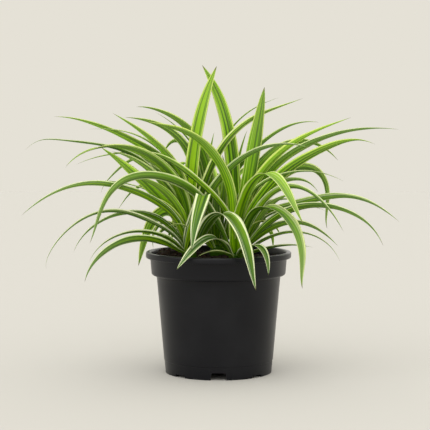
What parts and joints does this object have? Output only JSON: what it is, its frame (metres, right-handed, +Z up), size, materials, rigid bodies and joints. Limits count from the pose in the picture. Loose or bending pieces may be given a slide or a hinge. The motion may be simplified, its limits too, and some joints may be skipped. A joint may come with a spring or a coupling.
{
  "type": "potted spider plant",
  "caption": "Spider plant with long arching white-edged leaves in three tufts, growing in peat in a plain black round nursery pot.",
  "frame": {"origin": "on the surface that the pot stands on, on the pot's axis", "axes": "+Z up, -Y the front as pictured, +X the right"},
  "size_m": [0.4309, 0.2751, 0.3553],
  "materials": {
    "pot": "black injection-moulded polypropylene, satin",
    "soil": "damp dark brown peat with fibres and crumbs",
    "leaf": "soft satin leaf, green with cream edges and fine lengthwise veins"
  },
  "bodies": {
    "root": {"pot": "pot", "soil": "soil", "tuft_left": "leaf", "tuft_right": "leaf", "tuft_back": "leaf"}
  },
  "joints": []
}
